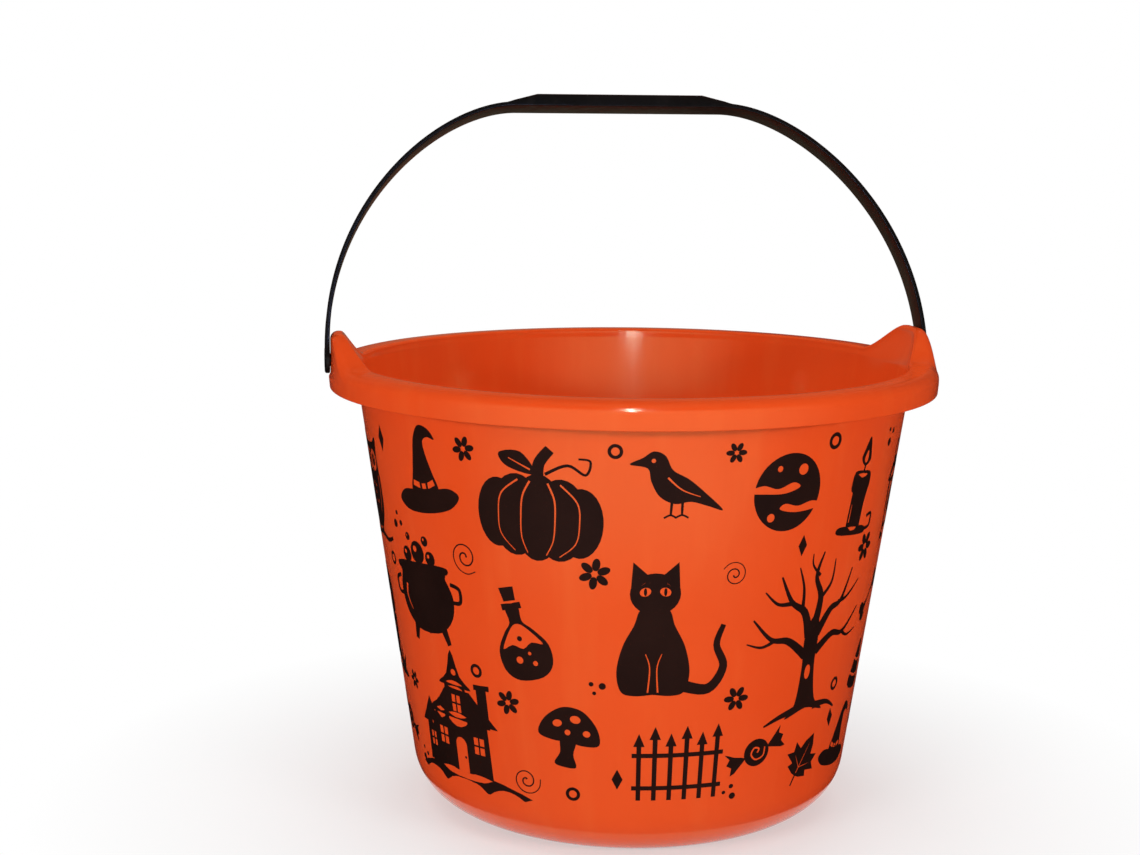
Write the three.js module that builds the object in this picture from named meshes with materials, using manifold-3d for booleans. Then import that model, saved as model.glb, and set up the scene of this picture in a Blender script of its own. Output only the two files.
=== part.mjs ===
import * as THREE from 'three';
import { mergeVertices } from 'three/addons/utils/BufferGeometryUtils.js';
import Module from 'manifold-3d';

// Treat pail of orange polypropylene with a black strap handle.
// Millimetres, Z up, the foot ring rests on Z = 0 and the handle turns about an axis along X.

// Pail, overall sizes
const RIM_RADIUS = 120;          // outer face of the turned over rim
const RIM_HEIGHT = 177;          // top of the rim between the ears
const WALL = 1.4;                // thickness of the moulding
const SKIRT_DROP = 10;           // the skirt hangs this far below the top of the rim
const WALL_TOP_RADIUS = 108.6;   // outer face of the tapered wall at the lower edge of the skirt
const BASE_RADIUS = 84.7;        // outer face of the tapered wall carried on down to Z = 0
const BASE_FILLET = 22;          // rounding between the wall and the base
const RIM_ROUND = 4.5;           // outer rounding of the rim
const LIP_ROUND = 1.2;           // inner rounding of the rim
const CHANNEL_FILLET = 0.5;      // corner between the wall and the roof of the hollow rim
const SKIRT_DRAFT = 0.3;         // the skirt draws in by this much towards its lower edge
const EDGE_ROUND = 0.4;          // lower edge of the skirt

// Foot ring and floor
const FOOT_WIDTH = 5;            // width of the flat that the pail stands on
const FOOT_SLOPE = 0.7;          // draft of the inner side of the foot ring
const RECESS = 2.4;              // the middle of the base stands this far off the ground
const FLOOR_STEP = 3.5;          // width of the ramp between the foot ring and the raised floor

// Ears that carry the handle
const EAR_RISE = 11.6;           // height of an ear above the rim
const EAR_TOP_ANGLE = 3;         // half width of the level top, degrees
const EAR_FOOT_ANGLE = 16;       // half width at the foot of an ear, degrees
const EAR_SLOPE = 5.2;           // the inner face of an ear leans outwards by this much at its top
const EAR_BEND = 4;              // the inner face starts to lean this far below the top of the rim
const EAR_ROUND = 3;             // outer rounding at the top of an ear
const EAR_LIP_ROUND = 1.8;       // inner rounding at the top of an ear
const PAD_INSET = 0.7;           // the outer face of an ear is set back by this much behind the hub
const PAD_MARGIN = 1.3;          // the set back reaches this far below the hub

// Hinge
const PIN_RISE = 1;              // height of the pins above the rim
const PIN_RADIUS = 2.5;
const PIN_CLEARANCE = 0.3;       // radial play of a pin in its hole
const HOLE_MARGIN = 1.2;         // each hole is cut this far beyond both faces of the ear
const SIDE_CLEARANCE = 0.3;      // play between the ear and the hub, and between the ear and the head
const HEAD_RADIUS = 3.5;         // larger than the hole, so a pin snaps in and stays
const HEAD_TIP_RADIUS = 2.1;
const HEAD_RIM = 0.4;            // straight part of the head before it narrows to its tip
const HEAD_LENGTH = 1.7;
const HUB_RADIUS = 5.2;
const HUB_THICKNESS = 2;
const HUB_ROUND = 0.8;           // outer rounding of the hub
const HUB_EDGE = 0.3;            // inner edge of the hub

// Strap handle, in its own plane: U across and V up from the pins
const STRAP_WIDTH = 9.6;
const STRAP_THICKNESS = 1.8;
const STRAP_EDGE = 0.45;         // rounding along the edges of the strap
const STRAP_LEAD = 4;            // the strap leaves the hub straight for this far
const ARCH_HEIGHT = 103.4;       // middle of the strap above the pins
const ARCH_FLAT = 42;            // half length of the level stretch
const ARCH_LEG = 58;             // upward pull of the leg on the curve of the arch
const ARCH_SHOULDER = 32;        // outward pull of the level stretch on the curve of the arch
const GRIP_THICKNESS = 5.2;
const GRIP_EDGE = 1.1;           // rounding along the upper edges of the grip
const GRIP_FLAT = 34;            // half length of the full thickness
const GRIP_RAMP = 12;            // length of the ramp at each end of the grip
const HANDLE_LEAN = 19.5;        // the handle stands back from upright by this angle, degrees

// Fineness of the curved faces
const EAR_STEP = 1.6;            // angular step round the pail over an ear, degrees
const RIM_STEP = 4.5;            // angular step round the pail elsewhere, degrees
const FILLET_STEPS = 7;
const RIM_ROUND_STEPS = 6;
const LIP_ROUND_STEPS = 3;
const HUB_ROUND_STEPS = 3;
const HOLE_SEGMENTS = 24;
const HUB_SEGMENTS = 32;
const ARCH_STEPS = 24;
const BEVEL_SHARE = 1 - Math.SQRT1_2;   // a rounding stays this share of its radius off the sharp corner
const MERGE_TOLERANCE = 1e-4;

// Surfaces
const PAIL_COLOR = 0xe8571c;
const PAIL_ROUGHNESS = 0.35;
const HANDLE_COLOR = 0x1d1a18;
const HANDLE_ROUGHNESS = 0.4;

const wasm = await Module();
wasm.setup();

const radians = (degrees) => (degrees * Math.PI) / 180;

// Geometry helpers
function closedGeometry(points, triangles) {
  const geometry = new THREE.BufferGeometry();
  const position = new Float32Array(points.length * 3);
  points.forEach((p, i) => position.set(p, i * 3));
  geometry.setAttribute('position', new THREE.BufferAttribute(position, 3));
  geometry.setIndex(triangles);
  return geometry;
}

function toManifold(geometry) {
  const bare = geometry.clone();
  bare.deleteAttribute('normal');
  bare.deleteAttribute('uv');
  const merged = mergeVertices(bare, MERGE_TOLERANCE);
  const mesh = new wasm.Mesh({
    numProp: 3,
    vertProperties: new Float32Array(merged.attributes.position.array),
    triVerts: new Uint32Array(merged.index.array),
  });
  return new wasm.Manifold(mesh);
}

function toGeometry(solid) {
  const mesh = solid.getMesh();
  const geometry = new THREE.BufferGeometry();
  const position = new Float32Array(mesh.numVert * 3);
  for (let i = 0; i < mesh.numVert; i += 1) {
    for (let k = 0; k < 3; k += 1) {
      position[i * 3 + k] = mesh.vertProperties[i * mesh.numProp + k];
    }
  }
  geometry.setAttribute('position', new THREE.BufferAttribute(position, 3));
  geometry.setIndex(new THREE.BufferAttribute(new Uint32Array(mesh.triVerts), 1));
  geometry.computeVertexNormals();
  return geometry;
}

function arc(cx, cz, radius, from, to, steps) {
  const points = [];
  for (let i = 0; i <= steps; i += 1) {
    const angle = radians(from + ((to - from) * i) / steps);
    points.push([cx + radius * Math.cos(angle), cz + radius * Math.sin(angle)]);
  }
  return points;
}

// A round part about an axis along X, given as pairs of X and radius that begin and end on the axis
function turnedAlongX(profile, segments, height) {
  const outline = profile.map(([x, radius]) => new THREE.Vector2(radius, x));
  const geometry = new THREE.LatheGeometry(outline, segments);
  geometry.rotateZ(-Math.PI / 2);
  geometry.translate(0, 0, height);
  return geometry;
}

// Pail section
const pinHeight = RIM_HEIGHT + PIN_RISE;
const padLevel = pinHeight - HUB_RADIUS - PAD_MARGIN;
const earFace = RIM_RADIUS - PAD_INSET;
const skirtLevel = RIM_HEIGHT - SKIRT_DROP;
const taper = Math.atan2(WALL_TOP_RADIUS - BASE_RADIUS, skirtLevel);
const taperDegrees = (taper * 180) / Math.PI;
const wallOuter = (z) => BASE_RADIUS + Math.tan(taper) * z;
const wallInner = (z) => wallOuter(z) - WALL / Math.cos(taper);
const filletCentre = BASE_RADIUS - (BASE_FILLET * (1 - Math.sin(taper))) / Math.cos(taper);
const footInner = filletCentre - FOOT_WIDTH;

// Share of the full ear at one angle: 1 on its level top and 0 beyond its foot
function earShare(degrees) {
  const fromEar = Math.abs((((degrees + 90) % 180) + 180) % 180 - 90);
  const t = THREE.MathUtils.clamp((EAR_FOOT_ANGLE - fromEar) / (EAR_FOOT_ANGLE - EAR_TOP_ANGLE), 0, 1);
  return t * t * (3 - 2 * t);
}

// Outline of the moulding at one angle, from the middle of the underside round to the middle of the floor
function pailSection(degrees) {
  const ear = earShare(degrees);
  const top = RIM_HEIGHT + EAR_RISE * ear;
  const roof = top - WALL;
  const face = RIM_RADIUS - PAD_INSET * ear;
  const rimRound = THREE.MathUtils.lerp(RIM_ROUND, EAR_ROUND, ear);
  const lipRound = THREE.MathUtils.lerp(LIP_ROUND, EAR_LIP_ROUND, ear);
  const lip = wallInner(RIM_HEIGHT) + EAR_SLOPE * ear;
  const bend = RIM_HEIGHT - EAR_BEND;
  const skirtOuter = RIM_RADIUS - SKIRT_DRAFT;
  const skirtInner = skirtOuter - WALL;
  return [
    [0, RECESS],
    [footInner - FOOT_SLOPE, RECESS],
    [footInner, 0],
    ...arc(filletCentre, BASE_FILLET, BASE_FILLET, -90, -taperDegrees, FILLET_STEPS),
    [wallOuter(bend), bend],
    [lip + WALL, roof - CHANNEL_FILLET],
    [lip + WALL + CHANNEL_FILLET, roof],
    ...arc(face - rimRound, top - rimRound, rimRound - WALL, 90, 0, LIP_ROUND_STEPS),
    [face - WALL, padLevel - WALL / 2],
    [RIM_RADIUS - WALL, padLevel - PAD_INSET - WALL / 2],
    [skirtInner, skirtLevel + EDGE_ROUND],
    [skirtInner + EDGE_ROUND, skirtLevel],
    [skirtOuter - EDGE_ROUND, skirtLevel],
    [skirtOuter, skirtLevel + EDGE_ROUND],
    [RIM_RADIUS, padLevel - PAD_INSET],
    [face, padLevel],
    ...arc(face - rimRound, top - rimRound, rimRound, 0, 90, RIM_ROUND_STEPS),
    ...arc(lip + lipRound, top - lipRound, lipRound, 90, 180, LIP_ROUND_STEPS),
    [wallInner(bend), bend],
    ...arc(filletCentre, BASE_FILLET, BASE_FILLET - WALL, -taperDegrees, -90, FILLET_STEPS),
    [footInner, WALL],
    [footInner - FLOOR_STEP, RECESS + WALL],
    [0, RECESS + WALL],
  ];
}

// The ears sit at 0 and 180 degrees, where the steps are closer together
function sectionAngles() {
  const angles = [];
  const earSteps = Math.round((2 * EAR_FOOT_ANGLE) / EAR_STEP);
  const rimSteps = Math.round((180 - 2 * EAR_FOOT_ANGLE) / RIM_STEP);
  for (let side = 0; side < 2; side += 1) {
    const start = 180 * side - EAR_FOOT_ANGLE;
    for (let i = 0; i < earSteps; i += 1) {
      angles.push(start + (2 * EAR_FOOT_ANGLE * i) / earSteps);
    }
    for (let i = 0; i < rimSteps; i += 1) {
      angles.push(start + 2 * EAR_FOOT_ANGLE + ((180 - 2 * EAR_FOOT_ANGLE) * i) / rimSteps);
    }
  }
  return angles;
}

// Sweep the section round the axis, both of its ends meet the axis in one point
function sweepRound(angles, sectionAt) {
  const sections = angles.map(sectionAt);
  const inner = sections[0].length - 2;
  const points = [];
  sections.forEach((section, k) => {
    const a = radians(angles[k]);
    for (let j = 1; j <= inner; j += 1) {
      points.push([section[j][0] * Math.cos(a), section[j][0] * Math.sin(a), section[j][1]]);
    }
  });
  const under = points.length;
  points.push([0, 0, sections[0][0][1]]);
  const over = points.length;
  points.push([0, 0, sections[0][inner + 1][1]]);
  const triangles = [];
  for (let k = 0; k < angles.length; k += 1) {
    const here = k * inner;
    const next = ((k + 1) % angles.length) * inner;
    triangles.push(under, next, here);
    for (let j = 0; j < inner - 1; j += 1) {
      triangles.push(here + j, next + j, next + j + 1);
      triangles.push(here + j, next + j + 1, here + j + 1);
    }
    triangles.push(over, here + inner - 1, next + inner - 1);
  }
  return closedGeometry(points, triangles);
}

// The two holes for the pins go through the skirt only
function pinHole(side) {
  const from = earFace - WALL - HOLE_MARGIN;
  const to = earFace + HOLE_MARGIN;
  const radius = PIN_RADIUS + PIN_CLEARANCE;
  const profile = [[from, 0], [from, radius], [to, radius], [to, 0]];
  const hole = turnedAlongX(profile, HOLE_SEGMENTS, pinHeight);
  if (side < 0) {
    hole.rotateZ(Math.PI);
  }
  return toManifold(hole);
}

// Strap handle
const hubInner = earFace + SIDE_CLEARANCE;
const strapFoot = hubInner + STRAP_THICKNESS / 2;

function bezier(p0, p1, p2, p3, t) {
  const s = 1 - t;
  return [0, 1].map((i) => (
    s * s * s * p0[i] + 3 * s * s * t * p1[i] + 3 * s * t * t * p2[i] + t * t * t * p3[i]
  ));
}

// Half of the middle line of the strap, from the pin to the middle of the grip
function halfLine() {
  const p0 = [strapFoot, STRAP_LEAD];
  const p1 = [strapFoot, STRAP_LEAD + ARCH_LEG];
  const p2 = [ARCH_FLAT + ARCH_SHOULDER, ARCH_HEIGHT];
  const p3 = [ARCH_FLAT, ARCH_HEIGHT];
  const line = [[strapFoot, 0]];
  for (let i = 0; i <= ARCH_STEPS; i += 1) {
    line.push(bezier(p0, p1, p2, p3, i / ARCH_STEPS));
  }
  [GRIP_FLAT, GRIP_FLAT / 2, 0].forEach((u) => line.push([u, ARCH_HEIGHT]));
  return line;
}

function handleLine() {
  const half = halfLine();
  const other = half.slice(0, -1).reverse();
  return [...half, ...other.map(([u, v]) => [-u, v])];
}

// Extra thickness of the grip on the outside of the arch
function gripExtra(u) {
  const t = THREE.MathUtils.clamp((GRIP_FLAT + GRIP_RAMP - Math.abs(u)) / GRIP_RAMP, 0, 1);
  return (GRIP_THICKNESS - STRAP_THICKNESS) * t;
}

// Section of the strap: across the thickness (outwards is positive) and across the width
function strapSection(extra) {
  const share = extra / (GRIP_THICKNESS - STRAP_THICKNESS);
  const topEdge = STRAP_EDGE + (GRIP_EDGE - STRAP_EDGE) * share;
  const low = -STRAP_THICKNESS / 2;
  const high = STRAP_THICKNESS / 2 + extra;
  const w = STRAP_WIDTH / 2;
  const e = STRAP_EDGE;
  const k = BEVEL_SHARE;
  return [
    [low, -w + e],
    [low, w - e],
    [low + e * k, w - e * k],
    [low + e, w],
    [high - topEdge, w],
    [high - topEdge * k, w - topEdge * k],
    [high, w - topEdge],
    [high, -w + topEdge],
    [high - topEdge * k, -w + topEdge * k],
    [high - topEdge, -w],
    [low + e, -w],
    [low + e * k, -w + e * k],
  ];
}

function strapGeometry() {
  const line = handleLine();
  const count = strapSection(0).length;
  const points = [];
  line.forEach(([u, v], i) => {
    const before = line[Math.max(i - 1, 0)];
    const after = line[Math.min(i + 1, line.length - 1)];
    const length = Math.hypot(after[0] - before[0], after[1] - before[1]);
    const normal = [(after[1] - before[1]) / length, -(after[0] - before[0]) / length];
    strapSection(v > ARCH_HEIGHT / 2 ? gripExtra(u) : 0).forEach(([n, w]) => {
      points.push([u + normal[0] * n, w, v + normal[1] * n]);
    });
  });
  const triangles = [];
  for (let i = 0; i < line.length - 1; i += 1) {
    for (let j = 0; j < count; j += 1) {
      const here = i * count + j;
      const right = i * count + ((j + 1) % count);
      triangles.push(here, here + count, right);
      triangles.push(right, here + count, right + count);
    }
  }
  const last = (line.length - 1) * count;
  for (let j = 1; j < count - 1; j += 1) {
    triangles.push(0, j, j + 1);
    triangles.push(last, last + j + 1, last + j);
  }
  return closedGeometry(points, triangles);
}

// Hub, pin and snap head in one turned shape
function hubGeometry(side) {
  const headBack = earFace - WALL - SIDE_CLEARANCE;
  const hubOuter = hubInner + HUB_THICKNESS;
  const profile = [
    [headBack - HEAD_LENGTH, 0],
    [headBack - HEAD_LENGTH, HEAD_TIP_RADIUS],
    [headBack - HEAD_RIM, HEAD_RADIUS],
    [headBack, HEAD_RADIUS],
    [headBack, PIN_RADIUS],
    [hubInner, PIN_RADIUS],
    [hubInner, HUB_RADIUS - HUB_EDGE],
    [hubInner + HUB_EDGE, HUB_RADIUS],
    ...arc(hubOuter - HUB_ROUND, HUB_RADIUS - HUB_ROUND, HUB_ROUND, 90, 0, HUB_ROUND_STEPS),
    [hubOuter, 0],
  ];
  const hub = turnedAlongX(profile, HUB_SEGMENTS, 0);
  if (side < 0) {
    hub.rotateZ(Math.PI);
  }
  return hub;
}

function pailGeometry() {
  const body = toManifold(sweepRound(sectionAngles(), pailSection));
  return toGeometry(body.subtract(pinHole(1)).subtract(pinHole(-1)));
}

function handleGeometry() {
  const strap = toManifold(strapGeometry());
  const geometry = toGeometry(strap.add(toManifold(hubGeometry(1))).add(toManifold(hubGeometry(-1))));
  geometry.rotateX(-radians(HANDLE_LEAN));
  geometry.translate(0, 0, pinHeight);
  geometry.computeVertexNormals();
  return geometry;
}

function piece(name, geometry, color, roughness) {
  const material = new THREE.MeshStandardMaterial({ color, roughness, metalness: 0 });
  const mesh = new THREE.Mesh(geometry, material);
  mesh.name = name;
  return mesh;
}

const group = new THREE.Group();
group.add(piece('pail', pailGeometry(), PAIL_COLOR, PAIL_ROUGHNESS));
group.add(piece('handle', handleGeometry(), HANDLE_COLOR, HANDLE_ROUGHNESS));

export default group;
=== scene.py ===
import math

import bpy
import numpy as np
from mathutils import Matrix, Vector
from mathutils.geometry import delaunay_2d_cdt


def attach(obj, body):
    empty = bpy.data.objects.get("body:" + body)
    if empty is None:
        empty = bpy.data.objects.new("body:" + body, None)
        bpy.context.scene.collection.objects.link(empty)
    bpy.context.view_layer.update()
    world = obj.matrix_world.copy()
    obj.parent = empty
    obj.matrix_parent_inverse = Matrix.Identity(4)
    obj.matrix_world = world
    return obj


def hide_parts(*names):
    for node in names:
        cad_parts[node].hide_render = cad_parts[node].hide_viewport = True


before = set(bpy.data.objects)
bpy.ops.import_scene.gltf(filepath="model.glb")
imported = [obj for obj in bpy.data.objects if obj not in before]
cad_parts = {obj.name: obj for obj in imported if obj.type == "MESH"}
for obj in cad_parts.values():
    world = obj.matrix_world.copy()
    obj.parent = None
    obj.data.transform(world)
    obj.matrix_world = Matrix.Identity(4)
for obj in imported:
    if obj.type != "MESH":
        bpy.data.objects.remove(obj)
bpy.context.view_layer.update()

# Lengths below are in millimetres and are scaled as the meshes are made
MM = 0.001

# Pail, the sizes of the source
RIM_RADIUS = 120
RIM_HEIGHT = 177
WALL = 1.4
SKIRT_DROP = 10
WALL_TOP_RADIUS = 108.6
BASE_RADIUS = 84.7
BASE_FILLET = 22
RIM_ROUND = 4.5
LIP_ROUND = 1.2
CHANNEL_FILLET = 0.5
SKIRT_DRAFT = 0.3
EDGE_ROUND = 0.4
FOOT_WIDTH = 5
FOOT_SLOPE = 0.7
RECESS = 2.4
FLOOR_STEP = 3.5
EAR_RISE = 11.6
EAR_TOP_ANGLE = 3
EAR_FOOT_ANGLE = 16
EAR_SLOPE = 5.2
EAR_BEND = 4
EAR_ROUND = 3
EAR_LIP_ROUND = 1.8
PAD_INSET = 0.7
PAD_MARGIN = 1.3

# Hinge and handle, the sizes of the source
PIN_RISE = 1
PIN_RADIUS = 2.5
PIN_CLEARANCE = 0.3
HOLE_MARGIN = 1.2
SIDE_CLEARANCE = 0.3
HEAD_RADIUS = 3.5
HEAD_TIP_RADIUS = 2.1
HEAD_RIM = 0.4
HEAD_LENGTH = 1.7
HUB_RADIUS = 5.2
HUB_THICKNESS = 2
HUB_ROUND = 0.8
HUB_EDGE = 0.3
STRAP_WIDTH = 9.6
STRAP_THICKNESS = 1.8
STRAP_EDGE = 0.45
STRAP_LEAD = 4
ARCH_HEIGHT = 103.4
ARCH_FLAT = 42
ARCH_LEG = 58
ARCH_SHOULDER = 32
GRIP_THICKNESS = 5.2
GRIP_EDGE = 1.1
GRIP_FLAT = 34
GRIP_RAMP = 12
HANDLE_LEAN = 19.5

# Fineness of the meshes
EAR_STEP = 1
RIM_STEP = 1.5
ROUND_STEPS = 10
FILLET_STEPS = 16
FLANK_STEPS = 12
TURN_SEGMENTS = 64
ARCH_STEPS = 90
STRAP_CORNER_STEPS = 4
SHARP_ANGLE = 38

# Camera of the photograph, which stands at this distance from the axis of the pail
CAMERA_DISTANCE = 736.8
CAMERA_RISE = 91.4          # above the rim
CAMERA_AZIMUTH = 11.31      # to the left of the middle of the front
CAMERA_HEADING = 9.39       # to the right of straight back
CAMERA_PITCH = 9.218        # down
CAMERA_ROLL = 0.433
CAMERA_LENS = 58.81
SENSOR = 36

# Print
PRINT_TILES = 2
PRINT_START = -101.3        # direction of the middle of the first tile
PRINT_RADIUS = 97.9         # radius of the wall at which the pattern has its drawn width
PRINT_SINK = 0.03
PRINT_RISE = 0.06
PRINT_GRID = 4
WHOLE_AREA = 0              # asks for every triangle between the points
MERGE_DISTANCE = 1e-5


def radians(degrees):
    return degrees * math.pi / 180


def smoothstep(t):
    t = min(max(t, 0), 1)
    return t * t * (3 - 2 * t)


def lerp(a, b, t):
    return a + (b - a) * t


def arc(cx, cz, radius, start, end, steps):
    angles = [radians(lerp(start, end, i / steps)) for i in range(steps + 1)]
    return [(cx + radius * math.cos(a), cz + radius * math.sin(a)) for a in angles]


# Section of the pail
pin_height = RIM_HEIGHT + PIN_RISE
pad_level = pin_height - HUB_RADIUS - PAD_MARGIN
ear_face = RIM_RADIUS - PAD_INSET
skirt_level = RIM_HEIGHT - SKIRT_DROP
taper = math.atan2(WALL_TOP_RADIUS - BASE_RADIUS, skirt_level)
taper_degrees = math.degrees(taper)
fillet_centre = BASE_RADIUS - BASE_FILLET * (1 - math.sin(taper)) / math.cos(taper)
foot_inner = fillet_centre - FOOT_WIDTH


def wall_outer(z):
    return BASE_RADIUS + math.tan(taper) * z


def wall_inner(z):
    return wall_outer(z) - WALL / math.cos(taper)


def ear_share(degrees):
    from_ear = abs((degrees + 90) % 180 - 90)
    return smoothstep((EAR_FOOT_ANGLE - from_ear) / (EAR_FOOT_ANGLE - EAR_TOP_ANGLE))


def flank(low, high, steps):
    """Points between two points of the section, bending softly away from the wall below."""
    points = []
    for i in range(1, steps):
        t = i / steps
        eased = (t + smoothstep(t)) / 2
        points.append((lerp(low[0], high[0], eased), lerp(low[1], high[1], t)))
    return points


def pail_section(degrees):
    ear = ear_share(degrees)
    top = RIM_HEIGHT + EAR_RISE * ear
    roof = top - WALL
    face = RIM_RADIUS - PAD_INSET * ear
    rim_round = lerp(RIM_ROUND, EAR_ROUND, ear)
    lip_round = lerp(LIP_ROUND, EAR_LIP_ROUND, ear)
    lip = wall_inner(RIM_HEIGHT) + EAR_SLOPE * ear
    bend = RIM_HEIGHT - EAR_BEND
    skirt_outer = RIM_RADIUS - SKIRT_DRAFT
    skirt_inner = skirt_outer - WALL
    inner_low = (wall_inner(bend), bend)
    inner_high = (lip, top - lip_round)
    outer_low = (wall_outer(bend), bend)
    outer_high = (lip + WALL, roof - CHANNEL_FILLET)
    return [
        (0, RECESS),
        (foot_inner - FOOT_SLOPE, RECESS),
        (foot_inner, 0),
        *arc(fillet_centre, BASE_FILLET, BASE_FILLET, -90, -taper_degrees, FILLET_STEPS),
        outer_low,
        *flank(outer_low, outer_high, FLANK_STEPS),
        outer_high,
        (lip + WALL + CHANNEL_FILLET, roof),
        *arc(face - rim_round, top - rim_round, rim_round - WALL, 90, 0, ROUND_STEPS),
        (face - WALL, pad_level - WALL / 2),
        (RIM_RADIUS - WALL, pad_level - PAD_INSET - WALL / 2),
        (skirt_inner, skirt_level + EDGE_ROUND),
        *arc(skirt_inner + EDGE_ROUND, skirt_level + EDGE_ROUND, EDGE_ROUND, 225, 270, 2),
        *arc(skirt_outer - EDGE_ROUND, skirt_level + EDGE_ROUND, EDGE_ROUND, -90, 0, 4),
        (RIM_RADIUS, pad_level - PAD_INSET),
        (face, pad_level),
        *arc(face - rim_round, top - rim_round, rim_round, 0, 90, ROUND_STEPS),
        *arc(lip + lip_round, top - lip_round, lip_round, 90, 180, ROUND_STEPS),
        *flank(inner_low, inner_high, FLANK_STEPS)[::-1],
        inner_low,
        *arc(fillet_centre, BASE_FILLET, BASE_FILLET - WALL, -taper_degrees, -90, FILLET_STEPS),
        (foot_inner, WALL),
        (foot_inner - FLOOR_STEP, RECESS + WALL),
        (0, RECESS + WALL),
    ]


def section_angles():
    angles = []
    ear_steps = round(2 * EAR_FOOT_ANGLE / EAR_STEP)
    rim_steps = round((180 - 2 * EAR_FOOT_ANGLE) / RIM_STEP)
    for side in range(2):
        start = 180 * side - EAR_FOOT_ANGLE
        angles += [start + 2 * EAR_FOOT_ANGLE * i / ear_steps for i in range(ear_steps)]
        start += 2 * EAR_FOOT_ANGLE
        angles += [start + (180 - 2 * EAR_FOOT_ANGLE) * i / rim_steps for i in range(rim_steps)]
    return angles


# Meshes
def new_piece(name, points, faces):
    mesh = bpy.data.meshes.new(name)
    mesh.from_pydata([(x * MM, y * MM, z * MM) for x, y, z in points], [], faces)
    mesh.validate()
    piece = bpy.data.objects.new(name, mesh)
    bpy.context.scene.collection.objects.link(piece)
    return piece


def soften(piece, sharp_angle):
    """Smooth shading, apart from the edges that turn by more than the angle."""
    mesh = piece.data
    mesh.polygons.foreach_set("use_smooth", [True] * len(mesh.polygons))
    normals = {}
    for polygon in mesh.polygons:
        for key in polygon.edge_keys:
            normals.setdefault(key, []).append(polygon.normal.copy())
    limit = math.cos(radians(sharp_angle))
    for edge in mesh.edges:
        sides = normals.get(edge.key, [])
        edge.use_edge_sharp = len(sides) != 2 or sides[0].dot(sides[1]) < limit
    return piece


def sweep_round(name, angles, section_at):
    sections = [section_at(a) for a in angles]
    inner = len(sections[0]) - 2
    points = []
    for degrees, section in zip(angles, sections):
        c, s = math.cos(radians(degrees)), math.sin(radians(degrees))
        points += [(r * c, r * s, z) for r, z in section[1:-1]]
    under = len(points)
    points.append((0, 0, sections[0][0][1]))
    over = len(points)
    points.append((0, 0, sections[0][-1][1]))
    faces = []
    for k in range(len(angles)):
        here = k * inner
        after = (k + 1) % len(angles) * inner
        faces.append((under, after, here))
        faces += [(here + j, after + j, after + j + 1, here + j + 1) for j in range(inner - 1)]
        faces.append((over, here + inner - 1, after + inner - 1))
    return new_piece(name, points, faces)


def turned_along_x(name, profile, side, height):
    """A round shape about an axis along X, from pairs of X and radius that begin and end on the axis."""
    inner = profile[1:-1]
    points = []
    for i in range(TURN_SEGMENTS):
        a = 2 * math.pi * i / TURN_SEGMENTS
        points += [(side * x, r * math.cos(a), height + r * math.sin(a)) for x, r in inner]
    first = len(points)
    points.append((side * profile[0][0], 0, height))
    last = len(points)
    points.append((side * profile[-1][0], 0, height))
    faces = []
    for i in range(TURN_SEGMENTS):
        here = i * len(inner)
        after = (i + 1) % TURN_SEGMENTS * len(inner)
        faces.append((first, here, after))
        faces += [(here + j, here + j + 1, after + j + 1, after + j) for j in range(len(inner) - 1)]
        faces.append((last, after + len(inner) - 1, here + len(inner) - 1))
    if side > 0:
        faces = [face[::-1] for face in faces]
    return new_piece(name, points, faces)


def combine(piece, others, operation):
    """The piece joined with the others, or cut by them. The others are then removed."""
    for other in others:
        modifier = piece.modifiers.new(operation.lower(), "BOOLEAN")
        modifier.operation = operation
        modifier.solver = "EXACT"
        modifier.object = other
    evaluated = piece.evaluated_get(bpy.context.evaluated_depsgraph_get())
    mesh = bpy.data.meshes.new_from_object(evaluated)
    piece.modifiers.clear()
    piece.data = mesh
    for other in others:
        bpy.data.objects.remove(other)
    return piece


def make_pail():
    pail = sweep_round("pail_body_shell", section_angles(), pail_section)
    radius = PIN_RADIUS + PIN_CLEARANCE
    start = ear_face - WALL - HOLE_MARGIN
    end = ear_face + HOLE_MARGIN
    profile = [(start, 0), (start, radius), (end, radius), (end, 0)]
    holes = [turned_along_x("pin_hole", profile, side, pin_height) for side in (-1, 1)]
    return soften(combine(pail, holes, "DIFFERENCE"), SHARP_ANGLE)


# Handle
hub_inner = ear_face + SIDE_CLEARANCE
strap_foot = hub_inner + STRAP_THICKNESS / 2


def bezier(p0, p1, p2, p3, t):
    s = 1 - t
    return tuple(
        s * s * s * a + 3 * s * s * t * b + 3 * s * t * t * c + t * t * t * d
        for a, b, c, d in zip(p0, p1, p2, p3)
    )


def handle_line():
    p0 = (strap_foot, STRAP_LEAD)
    p1 = (strap_foot, STRAP_LEAD + ARCH_LEG)
    p2 = (ARCH_FLAT + ARCH_SHOULDER, ARCH_HEIGHT)
    p3 = (ARCH_FLAT, ARCH_HEIGHT)
    half = [(strap_foot, 0)]
    half += [bezier(p0, p1, p2, p3, i / ARCH_STEPS) for i in range(ARCH_STEPS + 1)]
    half += [(u, ARCH_HEIGHT) for u in (GRIP_FLAT + 2, GRIP_FLAT, GRIP_FLAT - 2, GRIP_FLAT / 2, 0)]
    return half + [(-u, v) for u, v in half[-2::-1]]


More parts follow.
